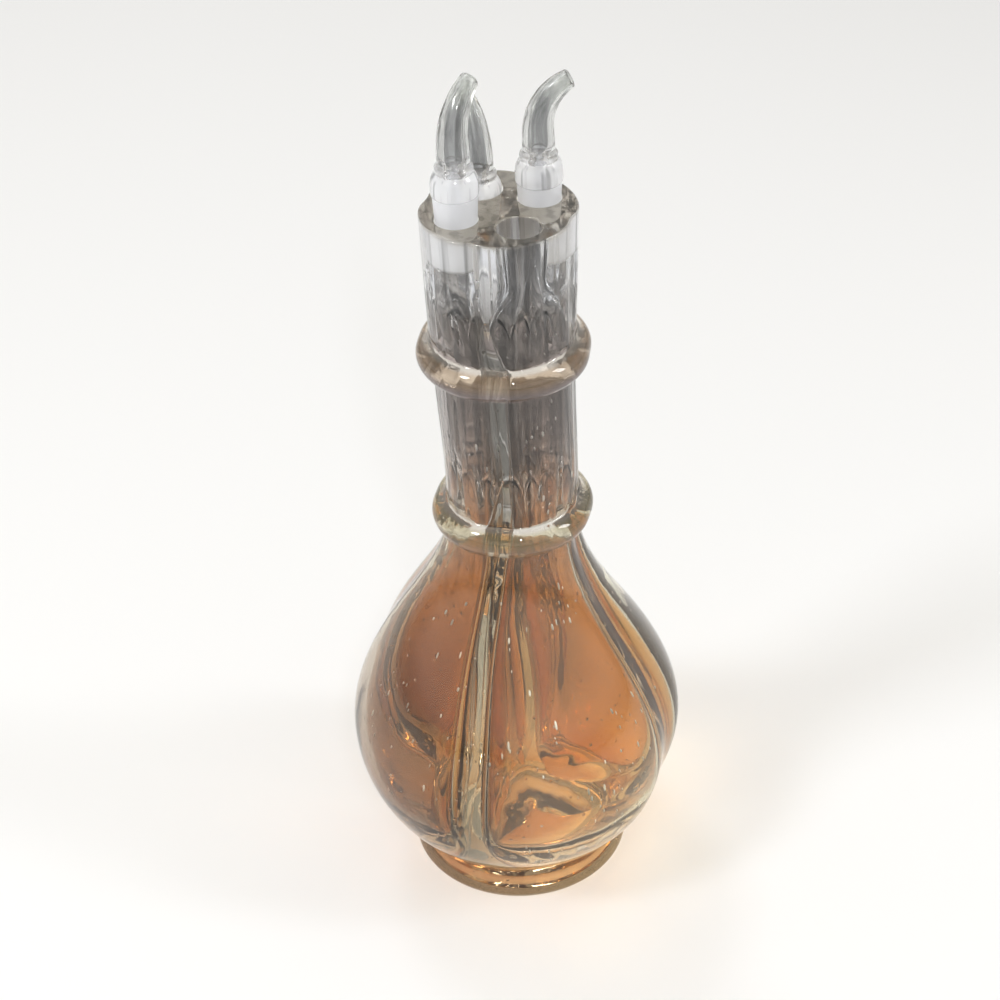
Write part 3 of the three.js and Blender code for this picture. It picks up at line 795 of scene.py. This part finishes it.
# %% Spout profile
def spout_outside():
    """Distance and radius from the plug's lower end to the horn's tip."""
    low = PLUG_RADIUS - PLUG_TAPER * PLUG_LENGTH
    chamfer = [(-PLUG_LENGTH, low - 0.8), (-PLUG_LENGTH + 0.25, low - 0.3), (-PLUG_LENGTH + 0.8, low)]
    down_plug = np.linspace(-PLUG_LENGTH + 1.5, -0.15, 12)
    plug = np.stack([down_plug, PLUG_RADIUS + PLUG_TAPER * down_plug], axis=1)
    wide, neck, ring = COLLAR_RADIUS, 6.4, (9.7, 6.4)
    step = bezier([(0, PLUG_RADIUS), (0.2, wide), (0.8, wide), (2.2, wide)], 9)
    bulge = bezier([(2.2, wide), (6.4, wide), (6.9, 7.3), (COLLAR_BULGE_TOP, neck)], 12)[1:]
    groove = bezier([(COLLAR_BULGE_TOP, neck), (8.8, 6.0), (8.9, ring[1]), ring], 9)[1:]
    root = bezier([ring, (10.5, ring[1]), (10.3, 5.6), (11.2, horn_radius(11.2))], 10)[1:]
    along = np.linspace(11.6, HORN_END, 40)
    horn = np.stack([along, horn_radius(along)], axis=1)
    wall = HORN_TIP * (1 - HORN_BORE) / 2
    lip = arc((HORN_TIP - wall, HORN_END), wall, 15, 165, 9)[:, ::-1]
    return np.vstack([chamfer, plug, step, bulge, groove, root, horn, lip])


def spout_channel():
    """Distance and radius from the horn's tip back down to the plug's lower end."""
    along = np.linspace(HORN_END - 0.4, COLLAR_HEIGHT + 3.2, 34)
    bore = np.stack([along, horn_radius(along) * HORN_BORE], axis=1)
    wide = float(bore[-1, 1])
    corners = [
        (COLLAR_HEIGHT + 3.2, wide),
        (COLLAR_HEIGHT + 1.2, wide),
        (COLLAR_HEIGHT + 0.4, CHANNEL_RADIUS),
        (COLLAR_HEIGHT - 0.8, CHANNEL_RADIUS),
    ]
    down = np.linspace(COLLAR_HEIGHT - 2, -PLUG_LENGTH, 14)
    straight = np.stack([down, np.full(len(down), CHANNEL_RADIUS)], axis=1)
    return np.vstack([bore, bezier(corners, 10)[1:], straight])


outside_line, channel_line = spout_outside(), spout_channel()
spout_profile = np.vstack([outside_line, channel_line])
print("rings in a spout:", len(spout_profile))


# %% Build the three spouts
def spout_rings():
    """Rings square to the middle line, as points in the spout's own frame."""
    along, radius = spout_profile[:, :1], spout_profile[:, 1:]
    bend = np.maximum(0, along - BEND_START) / BEND_RADIUS
    out, aside = radius * np.cos(SPOUT_ANGLES), radius * np.sin(SPOUT_ANGLES)
    x = BEND_RADIUS * (1 - np.cos(bend)) + out * np.cos(bend)
    level = np.minimum(along, BEND_START) + BEND_RADIUS * np.sin(bend)
    return np.stack([x, aside, level - out * np.sin(bend)], axis=-1)


def spout_finishes():
    """Ground on the plug, collar on the bulge, clear elsewhere, a row at a time."""
    along = outside_line[:, 0]
    outside = np.where(along < 0, GROUND, np.where(along < COLLAR_BULGE_TOP, COLLAR, CLEAR))
    return np.concatenate([outside, np.full(len(channel_line), CLEAR)])


def spout_tints():
    """The horn's grey, white on the collar and the plug, and painted shade in the bore: darker, with darker
    streaks.
    """
    along = outside_line[:, :1]
    collar = mix(PLUG_TINT, COLLAR_TINT, smooth(*COLLAR_TINT_START, along))
    outside = mix(collar, SPOUT_TINT, smooth(*HORN_TINT_START, along))
    outside = mix(outside, TIP_TINT, smooth(HORN_END - FROSTED_TIP, HORN_END, along))
    inside = channel_line[:, :1]
    worn = smooth(HORN_END - FROSTED_TIP, HORN_END - 2, inside)
    # painted shade in the bore, with darker streaks along it, fading towards the worn tip
    bore = mix(mix(PLUG_TINT, BORE_TINT, smooth(*HORN_TINT_START, inside)), TIP_TINT, worn)
    streaks = np.sin(3 * SPOUT_ANGLES + 0.4) * np.sin(5 * SPOUT_ANGLES + inside / 9)
    streaks = 1 - STREAK_DEPTH * (0.5 + 0.5 * streaks) * smooth(*STREAK_START, inside) * (1 - worn)
    outside = np.repeat(outside[:, None, :], SPOUT_ANGLES.size, axis=1)
    return np.concatenate([outside, bore[:, None, :] * streaks[..., None]])


# frost is 0 up to the last few millimetres of the horn and rises to 1 at its worn tip
spout_frost = smooth(HORN_END - FROSTED_TIP, HORN_END, spout_profile[:, :1])
spouts = {}
for name, turn, shows, pointing in CHAMBERS:
    if pointing is None:
        continue
    seat = TURNED + QUARTER * (turn + 0.5)
    place = np.array([MOUTH_OFFSET * np.cos(seat), MOUTH_OFFSET * np.sin(seat), NECK_TOP + shows])
    spout_skin = Skin()
    placed = turn_about_axis(spout_rings(), np.radians(pointing)) + place
    spout_skin.grid(placed, spout_tints(), spout_finishes(), spout_frost, wrap=True)
    spouts[name] = glass_object("spout_glass_" + name, spout_skin)

# %% [markdown]
# ## What moves with what
#
# The fused body stands for every piece that never moves, and each spout rides on its own body, so that it
# lifts out of its mouth.

# %% Riding and replacing
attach(body, "decanter")
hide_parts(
    "chamber_front",
    "chamber_right",
    "chamber_rear",
    "chamber_left",
    "upper_neck_band",
    "lower_neck_band",
    "foot",
)
for name, spout in spouts.items():
    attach(spout, name + "_spout")
    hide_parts("spout_" + name)
print("spouts:", sorted(spouts))

# %% [markdown]
# ## The surface of blown glass
#
# Blown glass is never quite even. Fine ribs run up the neck, where it was drawn out, the globe has broad
# waves, and the smallest seeds, which are too many to model, dimple the skin. Modelling each wave would
# take a very fine mesh, so a node group turns three patterns into a height for a Bump node: noise
# stretched along the neck, broad noise, and the small discs round Voronoi points. It also gives two
# masks. One darkens the tint along cords, thin strands of denser glass, and paints shade in a dark line
# below each arch. The other paints a pale highlight along the arches, which run round the neck above
# each band, where the folded glass catches the light.


# %% Helpers for node trees
def add_node(tree, kind, inputs=None, **settings):
    """A node with its settings, and with a value or another node's output for each input given."""
    node = tree.nodes.new("ShaderNode" + kind)
    for key, value in settings.items():
        setattr(node, key, value)
    for key, value in (inputs or {}).items():
        if isinstance(value, bpy.types.NodeSocket):
            tree.links.new(value, node.inputs[key])
        else:
            node.inputs[key].default_value = value
    return node


def math_node(tree, operation, first, second=0.0):
    """The output of a Math node; its inputs are numbers or other nodes' outputs."""
    return add_node(tree, "Math", {0: first, 1: second}, operation=operation).outputs[0]


def product(tree, first, *others):
    """Numbers or outputs multiplied one after another, with a Math node for each step."""
    for other in others:
        first = math_node(tree, "MULTIPLY", first, other)
    return first


def map_range(tree, value, low, high, start=0.0, end=1.0):
    """The output value with low to high spread over start to end, and held there outside."""
    inputs = {"Value": value, "From Min": low, "From Max": high, "To Min": start, "To Max": end}
    return add_node(tree, "MapRange", inputs, clamp=True).outputs[0]


# %% Node group for the glass surface
# scale a metre, stretch along Z and detail of each noise
RIB_NOISE, WAVE_NOISE, CORD_NOISE = (240.0, 0.04, 1.0), (24.0, 0.6, 2.0), (330.0, 0.025, 2.0)
SWING_NOISE, SEED_SCALE = (45.0, 0.3, 1.0), 260.0
# where the ribs and cords start in metres, how wide a seed is, how few cells have one, what noise is a cord
NECK_START, SEED_DISC, SEED_RARITY, CORD_RANGE = (0.12, 0.165), (0.16, 0.04), (0.6, 0.65), (0.36, 0.5)
# painted arches round the neck, a painted highlight along each and a line of painted shade under it: how
# they swing, and how round, high, far above the band and thick in metres they are; the painted shade under
# each arch lies lower by the drop
ARCHES, ARCH_SWING, ARCH_ROUND = 19, 5.0, 0.6
ARCH_RISE, ARCH_FOOT, ARCH_LINE, ARCH_DROP, ARCH_SHADE = 0.011, 0.017, 0.0014, 0.0019, 0.7
# the colour of the painted highlight along each arch
PAINTED_ARCH_HIGHLIGHT = (1.0, 0.99, 0.97, 1)


def stretched_noise(tree, place, scale, along, detail):
    """Noise of a given scale a metre; the factor on Z is below 1 where it is drawn out upwards."""
    stretch = add_node(tree, "Mapping", {"Vector": place, "Scale": (1.0, 1.0, along)})
    inputs = {"Vector": stretch.outputs[0], "Scale": scale, "Detail": detail}
    return add_node(tree, "TexNoise", inputs).outputs["Fac"]


def painted_arch_line(group, place, split, drop):
    """1 along a painted arch line round the neck above each band: the cosine of the angle, with no sign, to a
    power.
    """
    turn = math_node(group, "ARCTAN2", split.outputs["Y"], split.outputs["X"])
    uneven = product(group, stretched_noise(group, place, *SWING_NOISE), ARCH_SWING)
    phase = math_node(group, "ADD", product(group, turn, ARCHES / 2), uneven)
    arch = math_node(group, "ABSOLUTE", math_node(group, "COSINE", phase))
    arch = product(group, math_node(group, "POWER", arch, ARCH_ROUND), ARCH_RISE)
    above = math_node(group, "SUBTRACT", split.outputs["Z"], arch)
    near = [math_node(group, "SUBTRACT", above, band * MM + ARCH_FOOT - drop) for band in BAND_HEIGHTS]
    away = [math_node(group, "ABSOLUTE", height) for height in near]
    return map_range(group, math_node(group, "MINIMUM", *away), 0.0, ARCH_LINE, 1.0, 0.0)


def blown_surface_group():
    """Height of ribs, waves and seeds, and masks of dark cords with painted shade and of painted highlights,
    from Object coordinates.
    """
    group = bpy.data.node_groups.new("blown_surface", "ShaderNodeTree")
    for label in ("Ribs", "Waves", "Seeds", "Cords", "PaintedArches"):
        socket = group.interface.new_socket(label, in_out="INPUT", socket_type="NodeSocketFloat")
        socket.default_value = 1.0
    for label in ("Height", "CordsAndPaintedShade", "PaintedHighlight"):
        group.interface.new_socket(label, in_out="OUTPUT", socket_type="NodeSocketFloat")
    given, result = group.nodes.new("NodeGroupInput"), group.nodes.new("NodeGroupOutput")
    place = add_node(group, "TexCoord").outputs["Object"]
    split = add_node(group, "SeparateXYZ", {0: place})
    cells = add_node(group, "TexVoronoi", {"Vector": place, "Scale": SEED_SCALE})
    up_neck = map_range(group, split.outputs["Z"], *NECK_START)
    disc = map_range(group, cells.outputs["Distance"], *SEED_DISC)
    rare = map_range(group, cells.outputs["Color"], *SEED_RARITY)
    dark = map_range(group, stretched_noise(group, place, *CORD_NOISE), *CORD_RANGE, 1.0, 0.0)
    ribs = product(group, stretched_noise(group, place, *RIB_NOISE), given.outputs["Ribs"], up_neck)
    waves = product(group, stretched_noise(group, place, *WAVE_NOISE), given.outputs["Waves"])
    seeds = product(group, disc, rare, given.outputs["Seeds"])
    height = math_node(group, "ADD", math_node(group, "ADD", ribs, waves), seeds)
    cords = product(group, dark, given.outputs["Cords"], up_neck)
    # painted shade in a line under each arch, and a painted highlight along each arch
    shade = product(group, painted_arch_line(group, place, split, ARCH_DROP), ARCH_SHADE, given.outputs["PaintedArches"])
    clear = math_node(group, "SUBTRACT", math_node(group, "SUBTRACT", 1.0, cords), shade)
    painted_highlight = product(group, painted_arch_line(group, place, split, 0.0), given.outputs["PaintedArches"])
    for output, socket in zip((height, clear, painted_highlight), result.inputs):
        group.links.new(output, socket)
    return group


surface_group = blown_surface_group()
print("group:", surface_group.name)

# %% [markdown]
# ## Seven finishes of one glass
#
# Clear, ground and cloudy glass, the wall of a bubble, the bands, the spouts and their collars are the
# same recipe with other numbers. The Principled shader passes the light, the tint comes from the mesh,
# and the group gives the waves and the painted highlights and painted shade of the arches. Grinding
# leaves a rough skin that scatters, so the plugs and the seats pass less light straight on and look
# white. The flat top, the bands and the collars are a little milky, and a horn's tip is frosted by wear.
# For the lamps' shadow rays the glass is a pale filter: followed exactly, the light that glass bends on
# to a table takes far longer to settle.

# %% Glass materials
SHADOW_FILTER = (0.80, 0.78, 0.74, 1)
FROST_ROUGHNESS, BUMP_HEIGHT, REFRACTION = 0.27, 0.00025, 1.5
# the sockets that a Mix node for colours uses
MIX_SHARE, MIX_A, MIX_B, MIX_RESULT = 0, 6, 7, 2
# roughness, transmission, and how much there is of the ribs, waves, seeds, cords and painted arches
FINISHES = {
    "body_glass": (0.0, 0.975, (2.4, 2.2, 1.4, 0.7, 1.0)),
    "ground_glass": (0.42, 0.3, (0.0, 0.4, 0.0, 0.0, 0.0)),
    "cloudy_glass": (0.1, 0.82, (0.0, 4.0, 1.4, 0.5, 0.0)),
    "bubble_wall": (0.3, 0.1, (0.0, 0.0, 0.0, 0.0, 0.0)),
    "band_glass": (0.02, 0.78, (0.0, 1.2, 1.4, 0.0, 0.0)),
    "spout_glass": (0.03, 0.95, (2.6, 0.6, 0.0, 0.3, 0.0)),
    "collar_glass": (0.02, 0.62, (0.6, 3.0, 0.0, 0.6, 0.0)),
}


def glass_material(name, roughness, transmission, patterns, frosted):
    """Glass with the mesh's tint, for one finish; where frosted, the mesh's frost adds to its roughness."""
    material = bpy.data.materials.new(name)
    material.use_nodes = True
    tree = material.node_tree
    tree.nodes.clear()
    surface = add_node(tree, "Group", dict(enumerate(patterns)), node_tree=surface_group)
    height, cords_and_painted_shade, painted_highlight = surface.outputs
    bump = add_node(tree, "Bump", {"Height": height, "Distance": BUMP_HEIGHT})
    tint = add_node(tree, "Attribute", attribute_name="tint")
    # the tint, darker along cords and along the painted shade under each arch
    inputs = {MIX_SHARE: 1.0, MIX_A: tint.outputs["Color"], MIX_B: cords_and_painted_shade}
    darkened = add_node(tree, "Mix", inputs, data_type="RGBA", blend_type="MULTIPLY").outputs[MIX_RESULT]
    # painted highlight: the tint mixed towards near-white along each arch
    inputs = {MIX_SHARE: painted_highlight, MIX_A: darkened, MIX_B: PAINTED_ARCH_HIGHLIGHT}
    colour = add_node(tree, "Mix", inputs, data_type="RGBA").outputs[MIX_RESULT]
    inputs = {"IOR": REFRACTION, "Transmission Weight": transmission, "Roughness": roughness}
    inputs |= {"Base Color": colour, "Normal": bump.outputs["Normal"]}
    shader = add_node(tree, "BsdfPrincipled", inputs)
    if frosted:
        frost = map_range(tree, tint.outputs["Alpha"], 0.0, 1.0, roughness, FROST_ROUGHNESS)
        tree.links.new(frost, shader.inputs["Roughness"])
    shadow = add_node(tree, "LightPath").outputs["Is Shadow Ray"]
    pale_filter = add_node(tree, "BsdfTransparent", {"Color": SHADOW_FILTER})
    choose = add_node(tree, "MixShader", {0: shadow, 1: shader.outputs[0], 2: pale_filter.outputs[0]})
    add_node(tree, "OutputMaterial", {"Surface": choose.outputs[0]})
    return material


glass = {name: glass_material(name, *values, name == "spout_glass") for name, values in FINISHES.items()}
for name in ("body_glass", "ground_glass", "cloudy_glass", "bubble_wall", "band_glass"):
    body.data.materials.append(glass[name])
for spout in spouts.values():
    for name in ("spout_glass", "ground_glass", "collar_glass"):
        spout.data.materials.append(glass[name])
print("materials:", sorted(glass))

# %% [markdown]
# ## The studio
#
# Clear glass has no colour of its own to photograph: it shows its surroundings, bent. It reads best on a
# pale ground, with small lamps that leave crisp highlights and with something darker above, which draws
# the grey lines along its edges.


# %% Floor and world
FLOOR_PAINT = {"Base Color": (0.93, 0.93, 0.925, 1), "Roughness": 0.9, "Specular IOR Level": 0.1}
# how far up from the horizon, with 1 overhead, and the colour there
WORLD_STOPS = [
    (0.0, (0.47, 0.47, 0.46, 1)),
    (0.13, (1.0, 1.0, 1.0, 1)),
    (0.3, (1.0, 1.0, 1.0, 1)),
    (0.6, (0.38, 0.37, 0.35, 1)),
]


def plain_floor(half=4.0):
    """A pale floor, at the height of the foot."""
    mesh = bpy.data.meshes.new("floor")
    corners = [(-half, -half, 0), (half, -half, 0), (half, half, 0), (-half, half, 0)]
    mesh.from_pydata(corners, [], [(0, 1, 2, 3)])
    floor = new_object("floor", mesh)
    material = bpy.data.materials.new("floor_paint")
    material.use_nodes = True
    for label, value in FLOOR_PAINT.items():
        material.node_tree.nodes["Principled BSDF"].inputs[label].default_value = value
    mesh.materials.append(material)


def studio_world():
    """The far floor's grey at the horizon, white above it, warm grey overhead."""
    world = bpy.data.worlds.new("studio")
    bpy.context.scene.world = world
    world.use_nodes = True
    tree = world.node_tree
    split = add_node(tree, "SeparateXYZ", {0: add_node(tree, "TexCoord").outputs["Generated"]})
    shade = add_node(tree, "ValToRGB", {0: split.outputs["Z"]})
    stops = shade.color_ramp.elements
    stops.remove(stops[1])
    stops[0].color = WORLD_STOPS[0][1]
    for position, colour in WORLD_STOPS[1:]:
        stops.new(position).color = colour
    tree.links.new(shade.outputs[0], tree.nodes["Background"].inputs["Color"])


plain_floor()
studio_world()
print("floor and world:", bpy.context.scene.world.name)


# %% Lamps
LAMPS_AIM = (0, 0, 0.16)
# name, place and size in metres, power in watts
LAMPS = [
    ("key", (-0.9, -0.5, 1.3), (0.3, 0.3), 8.3),
    ("fill", (1.1, -0.2, 0.9), (0.2, 0.5), 4.25),
    ("back", (-0.5, 1.1, 1.7), (0.5, 0.25), 7.4),
    ("near", (0.12, -0.9, 0.95), (0.06, 0.06), 2.05),
]


def soft_lamp(name, place, size, power):
    """An area lamp that faces the decanter."""
    lamp = bpy.data.lights.new(name, "AREA")
    lamp.shape = "RECTANGLE"
    lamp.size, lamp.size_y = size
    lamp.energy = power
    holder = new_object(name, lamp)
    holder.location = place
    aim = mathutils.Vector(LAMPS_AIM) - mathutils.Vector(place)
    holder.rotation_euler = aim.to_track_quat("-Z", "Y").to_euler()


for lamp in LAMPS:
    soft_lamp(*lamp)

# %% [markdown]
# ## The camera
#
# The photo looks down on the decanter from arm's length, with the camera turned a little clockwise. The
# place, the lens and the three angles were fitted to the outline of the neck, the bands and the foot.

# %% Camera
FOCAL_IN_FRAMES, SENSOR_WIDTH, SIDE_SHIFT, FURTHEST = 2.113, 36.0, 0.0016, 50
PITCH, YAW, ROLL = np.radians([36.36, -0.36, -2.35])
CAMERA_PLACE = (0.0, -0.612, 0.612)
# the roll about the camera's own axis comes first, then the pitch, then the turn round the upright
turns = [(-YAW, "Z"), (np.pi / 2 - PITCH, "X"), (ROLL, "Z")]
turned, pitched, rolled = [mathutils.Matrix.Rotation(turn, 4, axis) for turn, axis in turns]

camera_data = bpy.data.cameras.new("camera")
camera_data.sensor_width = SENSOR_WIDTH
camera_data.lens = SENSOR_WIDTH * FOCAL_IN_FRAMES
camera_data.shift_x = SIDE_SHIFT
camera_data.clip_end = FURTHEST
camera = new_object("camera", camera_data)
camera.matrix_world = mathutils.Matrix.Translation(CAMERA_PLACE) @ turned @ pitched @ rolled
bpy.context.scene.camera = camera
bpy.context.scene.view_settings.view_transform = "Standard"
print("lens:", round(camera_data.lens, 2), "mm")
